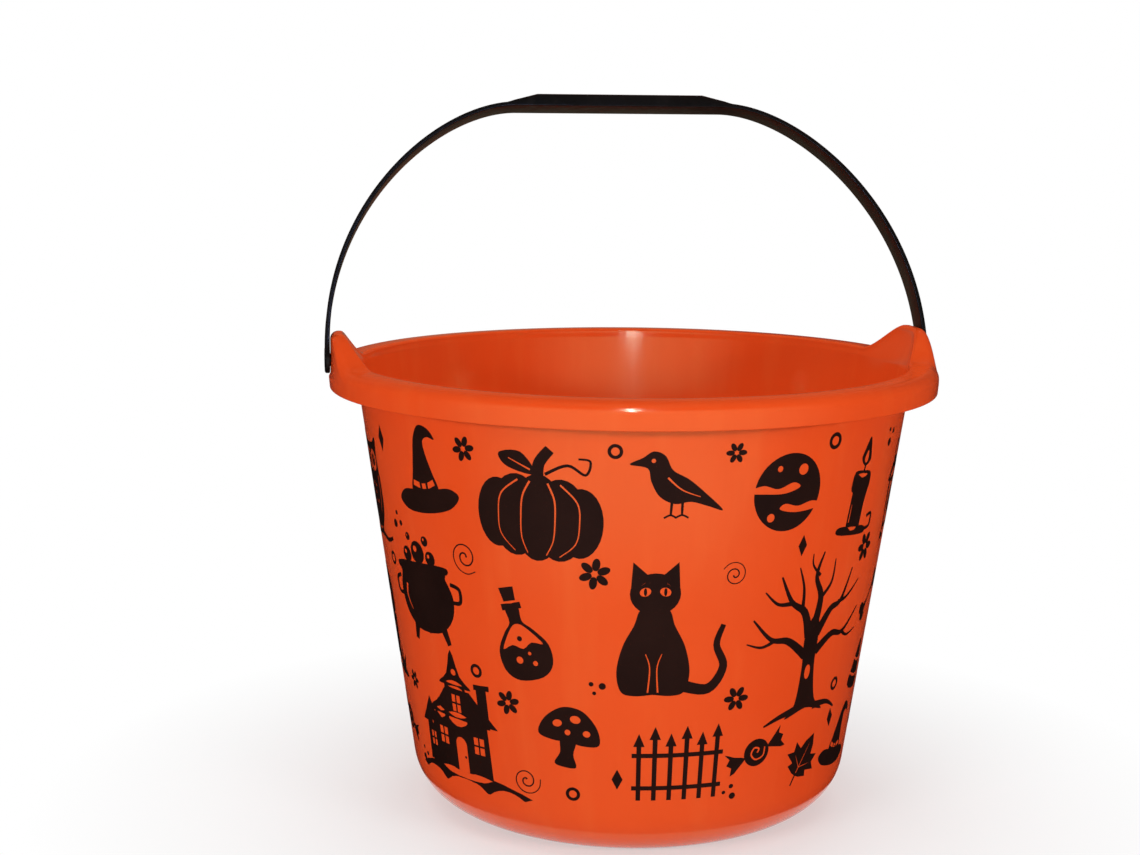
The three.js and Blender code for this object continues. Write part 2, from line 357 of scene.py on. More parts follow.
def strap_section(extra):
    """Points of the section: across the thickness, outwards positive, and across the width."""
    share = extra / (GRIP_THICKNESS - STRAP_THICKNESS)
    top_edge = lerp(STRAP_EDGE, GRIP_EDGE, share)
    low = -STRAP_THICKNESS / 2
    high = STRAP_THICKNESS / 2 + extra
    w = STRAP_WIDTH / 2
    corners = (
        (low + STRAP_EDGE, -w + STRAP_EDGE, STRAP_EDGE, 270),
        (low + STRAP_EDGE, w - STRAP_EDGE, STRAP_EDGE, 180),
        (high - top_edge, w - top_edge, top_edge, 90),
        (high - top_edge, -w + top_edge, top_edge, 0),
    )
    points = []
    for n, across, radius, start in corners:
        points += arc(n, across, radius, start, start - 90, STRAP_CORNER_STEPS)
    return points


def grip_extra(u):
    t = min(max((GRIP_FLAT + GRIP_RAMP - abs(u)) / GRIP_RAMP, 0), 1)
    return (GRIP_THICKNESS - STRAP_THICKNESS) * t


def make_strap():
    line = handle_line()
    count = len(strap_section(0))
    points = []
    for i, (u, v) in enumerate(line):
        before = line[max(i - 1, 0)]
        after = line[min(i + 1, len(line) - 1)]
        length = math.hypot(after[0] - before[0], after[1] - before[1])
        normal = ((after[1] - before[1]) / length, -(after[0] - before[0]) / length)
        extra = grip_extra(u) if v > ARCH_HEIGHT / 2 else 0
        points += [(u + normal[0] * n, w, v + normal[1] * n) for n, w in strap_section(extra)]
    faces = [tuple(range(count))[::-1]]
    for i in range(len(line) - 1):
        for j in range(count):
            here = i * count
            right = (j + 1) % count
            faces.append((here + j, here + right, here + count + right, here + count + j))
    faces.append(tuple((len(line) - 1) * count + j for j in range(count)))
    return new_piece("handle_strap", points, [face[::-1] for face in faces])


def make_hub(side):
    head_back = ear_face - WALL - SIDE_CLEARANCE
    hub_outer = hub_inner + HUB_THICKNESS
    profile = [
        (head_back - HEAD_LENGTH, 0),
        (head_back - HEAD_LENGTH, HEAD_TIP_RADIUS),
        (head_back - HEAD_RIM, HEAD_RADIUS),
        (head_back, HEAD_RADIUS),
        (head_back, PIN_RADIUS),
        (hub_inner, PIN_RADIUS),
        (hub_inner, HUB_RADIUS - HUB_EDGE),
        (hub_inner + HUB_EDGE, HUB_RADIUS),
        *arc(hub_outer - HUB_ROUND, HUB_RADIUS - HUB_ROUND, HUB_ROUND, 90, 0, ROUND_STEPS),
        (hub_outer, 0),
    ]
    return turned_along_x("hub", profile, side, 0)


def make_handle():
    handle = combine(make_strap(), [make_hub(side) for side in (-1, 1)], "UNION")
    turn = Matrix.Rotation(-radians(HANDLE_LEAN), 4, "X")
    handle.data.transform(Matrix.Translation((0, 0, pin_height * MM)) @ turn)
    return soften(handle, SHARP_ANGLE)


# Print, drawn as flat shapes in which each later shape adds ink or cuts it away
def circle(x, y, rx, ry=None, turn=0.0, steps=28):
    ry = rx if ry is None else ry
    c, s = math.cos(radians(turn)), math.sin(radians(turn))
    points = []
    for i in range(steps):
        a = 2 * math.pi * i / steps
        px, py = rx * math.cos(a), ry * math.sin(a)
        points.append((x + px * c - py * s, y + px * s + py * c))
    return points


def smooth(points, steps=5, closed=True):
    count = len(points)
    out = []
    spans = count if closed else count - 1
    for i in range(spans):
        if closed:
            p0, p1, p2, p3 = (points[(i + k - 1) % count] for k in range(4))
        else:
            p0, p1, p2, p3 = (points[min(max(i + k - 1, 0), count - 1)] for k in range(4))
        for k in range(steps):
            t = k / steps
            out.append(tuple(
                0.5 * (2 * b + (c - a) * t + (2 * a - 5 * b + 4 * c - d) * t * t
                       + (3 * b - a - 3 * c + d) * t * t * t)
                for a, b, c, d in zip(p0, p1, p2, p3)
            ))
    if not closed:
        out.append(points[-1])
    return out


def mirror(points):
    return points + [(-x, y) for x, y in reversed(points)]


def stroke(points, start, end=None, curved=True):
    end = start if end is None else end
    line = smooth(points, 6, closed=False) if curved else points
    left, right = [], []
    for i, (x, y) in enumerate(line):
        ax, ay = line[max(i - 1, 0)]
        bx, by = line[min(i + 1, len(line) - 1)]
        length = math.hypot(bx - ax, by - ay)
        half = (start + (end - start) * i / (len(line) - 1)) / 2
        nx, ny = -(by - ay) / length * half, (bx - ax) / length * half
        left.append((x + nx, y + ny))
        right.append((x - nx, y - ny))
    return left + right[::-1]


def box(left, low, right, high):
    return [(left, low), (left, high), (right, high), (right, low)]


def arched(x, low, half, spring):
    """An upright slab with a round head, its sides straight up to the springing."""
    head = arc(x, spring, half, 180, 0, 14)
    return [(x - half, low), *head, (x + half, low)]


def cat():
    body = smooth(mirror([(0.0, -0.98), (0.26, -1.0), (0.44, -0.94), (0.5, -0.66), (0.42, -0.3),
                          (0.27, 0.0), (0.19, 0.22), (0.0, 0.3)]))
    tail = [(0.4, -0.86), (0.78, -0.92), (0.98, -0.62), (0.86, -0.3), (0.94, -0.02)]
    return [
        ("add", body),
        ("add", stroke(tail, 0.17, 0.07)),
        ("add", circle(0, 0.44, 0.33, 0.29)),
        ("add", [(-0.32, 0.46), (-0.29, 0.88), (-0.05, 0.66)]),
        ("add", [(0.32, 0.46), (0.29, 0.88), (0.05, 0.66)]),
        ("cut", circle(-0.13, 0.47, 0.075, 0.06, 20)),
        ("cut", circle(0.13, 0.47, 0.075, 0.06, -20)),
        ("add", circle(-0.13, 0.47, 0.02, 0.055)),
        ("add", circle(0.13, 0.47, 0.02, 0.055)),
        ("cut", stroke([(-0.07, -0.95), (-0.05, -0.6), (-0.11, -0.4)], 0.025, 0.012)),
        ("cut", stroke([(0.07, -0.95), (0.05, -0.6), (0.11, -0.4)], 0.025, 0.012)),
    ]


def hat():
    cone = smooth([(-0.44, -0.44), (-0.3, -0.05), (-0.16, 0.35), (-0.02, 0.72), (0.22, 0.98), (0.52, 0.9),
                   (0.68, 0.66), (0.46, 0.72), (0.28, 0.62), (0.3, 0.3), (0.4, -0.08), (0.5, -0.44),
                   (0.2, -0.56), (-0.2, -0.56)])
    brim = smooth([(-1.05, -0.62), (-0.8, -0.42), (-0.4, -0.42), (0.0, -0.5), (0.45, -0.42), (0.85, -0.42),
                   (1.08, -0.6), (0.8, -0.84), (0.3, -0.94), (-0.3, -0.94), (-0.8, -0.85)])
    return [
        ("add", cone),
        ("add", brim),
        ("cut", stroke([(-0.34, -0.26), (0.04, -0.36), (0.39, -0.27)], 0.13)),
        ("add", box(-0.12, -0.48, 0.16, -0.22)),
        ("cut", box(-0.05, -0.41, 0.09, -0.29)),
    ]


def cauldron():
    pot = [(0.0, -0.74), (0.4, -0.68), (0.72, -0.42), (0.82, -0.06), (0.7, 0.26), (0.6, 0.36)]
    brim = [(0.0, 0.3), (0.5, 0.32), (0.76, 0.36), (0.78, 0.46), (0.5, 0.5), (0.0, 0.5)]
    shapes = [
        ("add", smooth(mirror(pot))),
        ("add", smooth(mirror(brim))),
        ("add", stroke([(-0.42, -0.6), (-0.52, -0.9)], 0.18, 0.1)),
        ("add", stroke([(0.42, -0.6), (0.52, -0.9)], 0.18, 0.1)),
        ("cut", stroke([(-0.56, 0.08), (-0.62, -0.14), (-0.5, -0.38)], 0.07, 0.02)),
        ("add", stroke([(-0.8, 0.2), (-1.0, 0.12), (-0.98, -0.1), (-0.8, -0.12)], 0.07)),
        ("add", stroke([(0.8, 0.2), (1.0, 0.12), (0.98, -0.1), (0.8, -0.12)], 0.07)),
    ]
    for x, y, r in ((-0.34, 0.62, 0.14), (0.02, 0.68, 0.2), (0.38, 0.6, 0.13), (0.3, 0.9, 0.09),
                    (-0.22, 0.94, 0.07)):
        shapes.append(("add", circle(x, y, r)))
        shapes.append(("cut", circle(x - r * 0.3, y + r * 0.3, r * 0.28)))
    return shapes


def pumpkin():
    lobes = ((0, -0.15, 0.42, 0.7), (-0.36, -0.15, 0.44, 0.66), (0.36, -0.15, 0.44, 0.66),
             (-0.68, -0.16, 0.36, 0.56), (0.68, -0.16, 0.36, 0.56))
    shapes = [("add", circle(*lobe)) for lobe in lobes]
    shapes.append(("add", stroke([(-0.02, 0.45), (0.0, 0.72), (0.16, 0.96)], 0.2, 0.16)))
    for side in (-1, 1):
        for bend, width in ((0.26, 0.035), (0.62, 0.03)):
            rib = [(side * bend * 0.55, 0.42), (side * bend, 0.16), (side * bend * 1.08, -0.18),
                   (side * bend, -0.5), (side * bend * 0.6, -0.74)]
            shapes.append(("cut", stroke(rib, width, width * 0.5)))
    tendril = [(0.1, 0.56), (0.44, 0.74), (0.72, 0.62), (0.78, 0.84), (0.6, 0.86)]
    shapes.append(("add", stroke(tendril, 0.05, 0.03)))
    shapes.append(("add", smooth([(-0.06, 0.54), (-0.3, 0.86), (-0.66, 0.8), (-0.52, 0.6)])))
    shapes.append(("cut", stroke([(-0.14, 0.6), (-0.5, 0.74)], 0.03, 0.015)))
    return shapes


def candle():
    wax = [(-0.3, 0.3), (-0.34, 0.0), (-0.27, -0.1), (-0.2, 0.0), (-0.15, -0.24), (-0.08, -0.24),
           (-0.02, 0.02), (0.1, -0.02), (0.16, -0.4), (0.24, -0.42), (0.3, -0.1), (0.34, 0.1),
           (0.28, 0.3), (0.0, 0.33)]
    flame = [(0.0, 0.42), (0.18, 0.54), (0.13, 0.74), (0.02, 1.0), (-0.12, 0.74), (-0.17, 0.56)]
    return [
        ("add", smooth(mirror([(0.0, -0.96), (0.5, -0.94), (0.56, -0.84), (0.4, -0.78), (0.0, -0.78)]), 3)),
        ("add", box(-0.26, -0.8, 0.26, 0.26)),
        ("add", smooth(wax, 4)),
        ("cut", stroke([(-0.19, -0.7), (-0.19, -0.34)], 0.035, 0.02)),
        ("add", stroke([(0.0, 0.3), (0.02, 0.46)], 0.05)),
        ("add", smooth(flame)),
        ("cut", smooth([(0.0, 0.48), (0.07, 0.56), (0.02, 0.74), (-0.07, 0.57)])),
        ("add", stroke([(0.5, -0.86), (0.76, -0.8), (0.74, -0.56), (0.54, -0.6)], 0.07)),
    ]


def gravestone():
    ground = [(-0.86, -0.94), (-0.7, -0.76), (-0.3, -0.7), (0.3, -0.7), (0.7, -0.76), (0.86, -0.94)]
    return [
        ("add", arched(0, -0.8, 0.52, 0.45)),
        ("cut", [(-0.06, -0.12), (-0.06, 0.3), (-0.22, 0.3), (-0.22, 0.42), (-0.06, 0.42), (-0.06, 0.66),
                 (0.06, 0.66), (0.06, 0.42), (0.22, 0.42), (0.22, 0.3), (0.06, 0.3), (0.06, -0.12)]),
        ("cut", stroke([(0.52, 0.2), (0.38, 0.1), (0.42, -0.04), (0.3, -0.16)], 0.05, 0.015, False)),
        ("add", smooth(ground, 4)),
        ("add", [(-0.8, -0.8), (-0.84, -0.42), (-0.66, -0.72), (-0.6, -0.5), (-0.52, -0.76)]),
        ("add", [(0.8, -0.8), (0.88, -0.5), (0.68, -0.7), (0.66, -0.4), (0.52, -0.76)]),
    ]


def owl():
    body = smooth(mirror([(0.0, -0.84), (0.26, -0.78), (0.48, -0.46), (0.52, 0.0), (0.46, 0.4), (0.52, 0.76),
                          (0.3, 0.66), (0.0, 0.62)]))
    shapes = [("add", body)]
    for side in (-1, 1):
        shapes += [
            ("cut", circle(side * 0.22, 0.34, 0.19)),
            ("add", circle(side * 0.22, 0.34, 0.1)),
            ("cut", circle(side * 0.2, 0.37, 0.03)),
            ("cut", stroke([(side * 0.4, 0.1), (side * 0.4, -0.24), (side * 0.26, -0.56)], 0.04, 0.02)),
            ("add", stroke([(side * 0.16, -0.78), (side * 0.16, -0.94)], 0.12, 0.1)),
        ]
    shapes.append(("cut", [(-0.07, 0.22), (0.07, 0.22), (0.0, 0.08)]))
    for x, y in ((-0.12, -0.1), (0.12, -0.1), (0.0, -0.24), (-0.12, -0.38), (0.12, -0.38)):
        feather = [(x - 0.07, y + 0.04), (x, y - 0.03), (x + 0.07, y + 0.04)]
        shapes.append(("cut", stroke(feather, 0.035, 0.035)))
    branch = [(-0.95, -0.9), (-0.5, -0.98), (0.1, -0.92), (0.5, -0.98), (0.78, -0.9)]
    shapes.append(("add", stroke(branch, 0.12, 0.06)))
    shapes.append(("add", stroke([(-0.6, -0.96), (-0.74, -1.1), (-0.86, -1.12)], 0.06, 0.03)))
    return shapes


def bare_tree():
    trunk = [(-0.3, -1.0), (-0.16, -0.84), (-0.12, -0.4), (-0.14, -0.05), (-0.06, 0.2), (0.06, 0.2),
             (0.1, -0.06), (0.1, -0.4), (0.2, -0.82), (0.4, -1.0), (0.05, -0.92)]
    shapes = [("add", smooth(trunk))]
    branches = (
        ([(-0.08, 0.0), (-0.2, 0.3), (-0.42, 0.46), (-0.6, 0.78)], 0.14, 0.02),
        ([(0.0, 0.1), (0.04, 0.45), (-0.08, 0.72), (0.0, 1.0)], 0.13, 0.02),
        ([(0.06, 0.0), (0.26, 0.26), (0.46, 0.34), (0.62, 0.7)], 0.13, 0.02),
        ([(-0.1, -0.24), (-0.4, -0.02), (-0.66, 0.04), (-0.92, 0.3)], 0.12, 0.02),
        ([(0.08, -0.22), (0.36, -0.06), (0.62, -0.08), (0.94, 0.16)], 0.12, 0.02),
        ([(-0.42, 0.44), (-0.62, 0.46), (-0.8, 0.62)], 0.06, 0.015),
        ([(-0.24, 0.32), (-0.26, 0.6), (-0.36, 0.86)], 0.06, 0.015),
        ([(0.02, 0.42), (0.2, 0.6), (0.22, 0.88)], 0.06, 0.015),
        ([(0.4, 0.32), (0.6, 0.36), (0.84, 0.52)], 0.06, 0.015),
        ([(0.6, -0.08), (0.76, -0.16), (0.98, -0.12)], 0.05, 0.015),
        ([(-0.6, 0.02), (-0.78, -0.04), (-0.98, 0.02)], 0.05, 0.015),
        ([(-0.02, 0.72), (-0.16, 0.86), (-0.18, 1.0)], 0.04, 0.012),
        ([(-0.12, -0.9), (-0.4, -0.96), (-0.62, -1.04)], 0.1, 0.02),
        ([(0.2, -0.92), (0.5, -0.94), (0.72, -1.05)], 0.1, 0.02),
    )
    shapes += [("add", stroke(*b)) for b in branches]
    shapes.append(("cut", circle(-0.01, -0.46, 0.05, 0.09)))
    return shapes


def house():
    spire = [(-0.36, 0.54), (-0.16, 0.72), (-0.02, 1.1), (0.12, 0.72), (0.32, 0.54), (0.0, 0.56)]
    hill = [(-1.15, -1.0), (-0.9, -0.82), (-0.4, -0.76), (0.4, -0.76), (0.9, -0.84), (1.15, -1.0)]
    bar = 0.014
    shapes = [
        ("add", [(-0.62, -0.8), (-0.58, 0.1), (0.56, 0.1), (0.6, -0.8)]),
        ("add", [(-0.74, 0.04), (-0.2, 0.52), (0.28, 0.5), (0.76, 0.02)]),
        ("add", [(-0.26, 0.0), (-0.24, 0.58), (0.2, 0.58), (0.22, 0.0)]),
        ("add", smooth(spire, 3)),
        ("add", [(0.44, 0.0), (0.42, 0.6), (0.6, 0.62), (0.62, 0.0)]),
        ("add", [(0.38, 0.58), (0.38, 0.66), (0.66, 0.68), (0.66, 0.6)]),
        ("add", [(-0.9, -0.8), (-0.86, -0.16), (-0.56, -0.16), (-0.56, -0.8)]),
        ("add", [(-1.0, -0.2), (-0.72, 0.22), (-0.46, -0.2)]),
        ("add", smooth(hill, 3)),
        ("cut", arched(0, -0.78, 0.12, -0.36)),
        ("add", circle(0.07, -0.54, 0.02)),
    ]
    for x, y, w, h in ((-0.4, -0.3, 0.1, 0.13), (0.38, -0.3, 0.1, 0.13), (-0.01, 0.28, 0.09, 0.13),
                       (-0.72, -0.44, 0.07, 0.11)):
        shapes.append(("cut", box(x - w, y - h, x + w, y + h)))
        shapes.append(("add", box(x - bar, y - h, x + bar, y + h)))
        shapes.append(("add", box(x - w, y - bar, x + w, y + bar)))
    shapes.append(("cut", circle(0.0, 0.76, 0.05)))
    return shapes


def bottle():
    flask = smooth([(-0.13, 0.5), (-0.13, 0.22), (-0.3, 0.04), (-0.52, -0.28), (-0.5, -0.66), (-0.24, -0.88),
                    (0.24, -0.88), (0.5, -0.66), (0.52, -0.28), (0.3, 0.04), (0.13, 0.22), (0.13, 0.5)], 4)
    empty = [(-0.42, -0.26), (-0.26, -0.02), (-0.08, 0.16), (0.08, 0.16), (0.26, -0.02), (0.42, -0.26),
             (0.2, -0.2), (0.0, -0.3), (-0.2, -0.2)]
    return [
        ("add", flask),
        ("add", box(-0.2, 0.46, 0.2, 0.58)),
        ("add", [(-0.12, 0.62), (-0.15, 0.88), (0.15, 0.88), (0.12, 0.62)]),
        ("cut", smooth(empty, 3)),
        ("cut", circle(-0.14, -0.5, 0.07)),
        ("cut", circle(0.16, -0.6, 0.05)),
        ("cut", circle(0.1, -0.4, 0.035)),
        ("add", circle(-0.02, -0.1, 0.05)),
    ]


def sweet():
    wrapper = ((0.36, 0.0), (0.96, 0.4), (0.86, 0.2), (1.0, 0.06), (0.88, -0.08), (0.98, -0.3),
               (0.84, -0.28))
    shapes = [("add", circle(0, 0, 0.42))]
    shapes += [("add", [(side * x, y) for x, y in wrapper]) for side in (-1, 1)]
    shapes.append(("cut", stroke([(0.02, -0.02), (0.1, 0.08), (-0.04, 0.17), (-0.18, 0.02), (-0.08, -0.2),
                                  (0.18, -0.2), (0.3, 0.04)], 0.06, 0.05)))
    return shapes


def corn():
    return [
        ("add", smooth([(0.0, 0.95), (0.22, 0.6), (0.5, -0.2), (0.62, -0.66), (0.3, -0.86), (-0.3, -0.86),
                        (-0.62, -0.66), (-0.5, -0.2), (-0.22, 0.6)])),
        ("cut", stroke([(-0.7, -0.3), (0.0, -0.4), (0.7, -0.3)], 0.1)),
        ("cut", stroke([(-0.5, 0.26), (0.0, 0.16), (0.5, 0.26)], 0.1)),
    ]


def mushroom():
    return [
        ("add", smooth([(-0.82, -0.1), (-0.72, 0.34), (-0.36, 0.72), (0.0, 0.82), (0.36, 0.72), (0.72, 0.34),
                        (0.82, -0.1), (0.4, -0.2), (0.0, -0.16), (-0.4, -0.2)])),
        ("add", smooth([(-0.2, -0.1), (-0.18, -0.5), (-0.3, -0.84), (0.0, -0.9), (0.3, -0.84), (0.18, -0.5),
                        (0.2, -0.1)], 4)),
        ("cut", circle(-0.34, 0.3, 0.13, 0.1, 25)),
        ("cut", circle(0.12, 0.5, 0.14, 0.11)),
        ("cut", circle(0.46, 0.16, 0.1, 0.09)),
        ("cut", circle(-0.04, 0.1, 0.08)),
    ]


def crow():
    body = smooth([(-0.98, 0.38), (-0.72, 0.52), (-0.5, 0.66), (-0.26, 0.56), (-0.1, 0.26), (0.24, 0.06),
                   (0.6, -0.24), (1.0, -0.62), (0.66, -0.52), (0.3, -0.42), (-0.04, -0.46), (-0.36, -0.3),
                   (-0.54, 0.02), (-0.62, 0.3)])
    return [
        ("add", body),
        ("cut", circle(-0.5, 0.46, 0.045)),
        ("cut", stroke([(-0.2, 0.1), (0.1, -0.16), (0.5, -0.32)], 0.045, 0.015)),
        ("add", stroke([(-0.1, -0.4), (-0.12, -0.72)], 0.06, 0.045)),
        ("add", stroke([(0.12, -0.4), (0.12, -0.72)], 0.06, 0.045)),
        ("add", stroke([(-0.26, -0.76), (-0.12, -0.7), (0.0, -0.76)], 0.04)),
        ("add", stroke([(-0.02, -0.76), (0.12, -0.7), (0.26, -0.76)], 0.04)),
    ]


def bone():
    knobs = [("add", circle(x, y, 0.2)) for x in (-0.76, 0.76) for y in (-0.16, 0.16)]
    return [("add", box(-0.7, -0.12, 0.7, 0.12)), *knobs]


def leaf():
    half = [(0.0, -0.62), (0.22, -0.6), (0.58, -0.46), (0.44, -0.28), (0.9, -0.1), (0.62, 0.08),
            (0.72, 0.42), (0.36, 0.3), (0.26, 0.62), (0.0, 0.98)]
    return [
        ("add", mirror(half)),
        ("add", stroke([(0.0, -0.56), (0.03, -1.0)], 0.07, 0.06)),
        ("cut", stroke([(0.0, -0.52), (0.0, 0.66)], 0.045, 0.015, False)),
        ("cut", stroke([(0.0, -0.3), (0.46, 0.0)], 0.035, 0.012, False)),
        ("cut", stroke([(0.0, -0.3), (-0.46, 0.0)], 0.035, 0.012, False)),
    ]


def lantern():
    flame = [(0.0, -0.52), (0.17, -0.36), (0.1, -0.12), (0.0, 0.1), (-0.1, -0.12), (-0.17, -0.36)]
    return [
        ("add", smooth(mirror([(0.0, 0.66), (0.16, 0.62), (0.44, 0.34), (0.46, 0.26), (0.0, 0.24)]), 3)),
        ("add", box(-0.38, -0.8, 0.38, 0.28)),
        ("add", [(-0.48, -0.94), (-0.46, -0.76), (0.46, -0.76), (0.48, -0.94)]),
        ("cut", box(-0.28, -0.66, -0.03, 0.18)),
        ("cut", box(0.03, -0.66, 0.28, 0.18)),
        ("add", smooth(flame, 4)),
        ("add", stroke([(-0.13, 0.6), (-0.16, 0.86), (0.0, 0.98), (0.16, 0.86), (0.13, 0.6)], 0.06)),
    ]


def full_moon():
    high_cloud = [(-1.1, 0.06), (-0.7, 0.2), (-0.3, 0.1), (0.1, 0.22), (0.3, 0.1), (-0.1, -0.02),
                  (-0.6, 0.0)]
    low_cloud = [(1.1, -0.38), (0.7, -0.26), (0.3, -0.34), (-0.06, -0.26), (-0.2, -0.38), (0.2, -0.48),
                 (0.7, -0.46)]
    return [
        ("add", circle(0, 0, 0.9, steps=48)),
        ("cut", smooth(high_cloud)),
        ("cut", smooth(low_cloud)),
        ("cut", circle(0.34, 0.5, 0.13)),
        ("cut", circle(-0.3, 0.56, 0.07)),
        ("cut", circle(-0.42, -0.56, 0.1)),
    ]


def fence():
    shapes = [
        ("add", box(-1.0, 0.1, 1.0, 0.2)),
        ("add", box(-1.0, -0.66, 1.0, -0.56)),
    ]
    for i in range(6):
        x = -0.85 + 0.34 * i
        top = 0.72 if i % 2 else 0.56
        shapes.append(("add", [
            (x - 0.05, -0.9), (x - 0.05, top - 0.2), (x - 0.12, top - 0.2), (x, top + 0.1),
            (x + 0.12, top - 0.2), (x + 0.05, top - 0.2), (x + 0.05, -0.9),
        ]))
    return shapes


def swirl():
    line = []
    for i in range(22):
        a = radians(32 * i)
        r = 0.08 + 0.036 * i
        line.append((r * math.cos(a), r * math.sin(a)))
    return [("add", stroke(line, 0.09, 0.05))]


def dots():
    spots = ((-0.5, -0.3, 0.32), (0.5, -0.1, 0.22), (-0.05, 0.62, 0.18))
    return [("add", circle(*spot)) for spot in spots]


def ring():
    return [("add", circle(0, 0, 0.9)), ("cut", circle(0, 0, 0.5))]


def diamond():
    return [("add", [(0, 1.0), (0.5, 0), (0, -1.0), (-0.5, 0)])]


def blossom():
    shapes = []
    for i in range(6):
        a = 60 * i
        x, y = 0.58 * math.cos(radians(a)), 0.58 * math.sin(radians(a))
        shapes.append(("add", circle(x, y, 0.4, 0.24, a)))
    shapes.append(("cut", circle(0, 0, 0.2)))
    return shapes


LAYOUT = (
    # motif, across in mm, up in mm, half height in mm, turn in degrees
    (owl, -126, 133, 23, 0),
    (hat, -80, 144, 17, 8),
    (pumpkin, -31, 136, 23, -4),
    (crow, 15, 147, 17, 0),
    (full_moon, 55, 141, 16, 0),
    (candle, 92, 138, 19, -6),
    (lantern, 130, 131, 20, 6),
    (gravestone, -136, 76, 22, -4),
    (cauldron, -88, 96, 22, 5),
    (cat, 9, 94, 27, 0),
    (bottle, -41, 88, 20, 14),
    (bare_tree, 76, 84, 32, 0),
    (bone, 122, 90, 12, 35),
    (house, -75, 47, 26, 0),
    (mushroom, -23, 50, 14, -8),
    (fence, 20, 41, 17, 0),
    (sweet, 54, 41, 13, 20),
    (corn, 121, 62, 11, -14),
    (leaf, 142, 42, 14, 24),
    (leaf, 81, 33, 11, -30),
    (hat, 110, 36, 13, -10),
    (sweet, -126, 36, 12, -24),
    (swirl, -62, 114, 8, 0),
    (swirl, 146, 82, 7, 120),
    (swirl, 37, 112, 6, 200),
    (swirl, -42, 30, 7, 60),
    (blossom, -58, 155, 5, 10),
    (blossom, 34, 157, 4, 0),
    (blossom, -12, 113, 6, 20),
    (blossom, 104, 113, 6, 0),
    (blossom, -48, 60, 5, 15),
    (blossom, 42, 64, 5, 0),
    (blossom, -108, 56, 4, 0),
    (dots, -101, 121, 5, 0),
    (dots, 112, 155, 5, 40),
    (dots, -12, 70, 4, 160),
    (dots, 43, 27, 4, 90),
    (dots, -107, 26, 4, 20),
    (dots, 150, 112, 5, 200),
    (ring, 73, 158, 3.5, 0),
    (ring, -5, 158, 3, 0),
    (ring, -112, 104, 3, 0),
    (ring, -62, 70, 3, 0),
    (ring, 97, 60, 3, 0),
    (ring, -22, 27, 3, 0),
    (ring, -146, 52, 3, 0),
    (diamond, -106, 152, 5, 0),
    (diamond, 64, 120, 4, 0),
    (diamond, -4, 34, 4, 0),
    (diamond, 98, 46, 4, 10),
    (diamond, 150, 62, 4, 0),
    (diamond, -147, 152, 4, 0),
)


def placed(shape, u, v, size, turn):
    c, s = math.cos(radians(turn)), math.sin(radians(turn))
    return [
        (mode, [(u + size * (x * c - y * s), v + size * (x * s + y * c)) for x, y in points])
        for mode, points in shape()
    ]


def inside(points, polygon):
    """Which of the points lie in the polygon, also where it overlaps itself."""
    x, y = points[:, 0], points[:, 1]
    winding = np.zeros(len(points), int)
    for (ax, ay), (bx, by) in zip(polygon, polygon[1:] + polygon[:1]):
        side = (bx - ax) * (y - ay) - (x - ax) * (by - ay)
        winding += (ay <= y) & (by > y) & (side > 0)
        winding -= (ay > y) & (by <= y) & (side < 0)
    return winding != 0


def inked(shapes):
    """Triangles of the inked area, small enough to follow the round wall."""
    outline = []
    edges = []
    for _, polygon in shapes:
        first = len(outline)
        outline += polygon
        edges += [(first + i, first + (i + 1) % len(polygon)) for i in range(len(polygon))]
    corners = np.array(outline)
    low = np.floor(corners.min(0) / PRINT_GRID).astype(int)
    high = np.ceil(corners.max(0) / PRINT_GRID).astype(int)
    grid = [
        (i * PRINT_GRID, j * PRINT_GRID)
        for i in range(low[0], high[0] + 1)
        for j in range(low[1], high[1] + 1)
    ]
    points = [Vector(p) for p in outline + grid]
    found, _, faces, _, _, _ = delaunay_2d_cdt(points, edges, [], WHOLE_AREA, MERGE_DISTANCE, False)
    found = np.array([tuple(p) for p in found])
    faces = np.array([face for face in faces if len(face) == 3])
    middles = found[faces].mean(axis=1)
    ink = np.zeros(len(faces), bool)
    for mode, polygon in shapes:
        ink[inside(middles, polygon)] = mode == "add"
    return found, faces[ink]


def on_wall(u, v, across, up, side, lift):
    """A drawn point on the wall, where across and up place its motif."""
    angle = radians(PRINT_START) + (across / PRINT_RADIUS + math.pi * side) + (u - across) / wall_outer(up)
    r = wall_outer(v) + lift / math.cos(taper)
    return (r * math.cos(angle), r * math.sin(angle), v)


def make_print():
    points = []
    faces = []
    for motif, across, up, size, turn in LAYOUT:
        drawn, triangles = inked(placed(motif, across, up, size, turn))
        sides = {}
        for a, b, c in triangles:
            for edge in ((a, b), (b, c), (c, a)):
                sides[edge] = True
        rims = [(a, b) for a, b in sides if (b, a) not in sides]
        used = sorted({int(k) for triangle in triangles for k in triangle})
        for tile in range(PRINT_TILES):
            over = {k: len(points) + i for i, k in enumerate(used)}
            points += [on_wall(*drawn[k], across, up, tile, PRINT_RISE) for k in used]
            under = {k: len(points) + i for i, k in enumerate(used)}
            points += [on_wall(*drawn[k], across, up, tile, -PRINT_SINK) for k in used]
            for a, b, c in triangles:
                faces.append((over[a], over[b], over[c]))
                faces.append((under[c], under[b], under[a]))
            faces += [(over[b], over[a], under[a], under[b]) for a, b in rims]
    return soften(new_piece("printed_pattern", points, faces), SHARP_ANGLE)


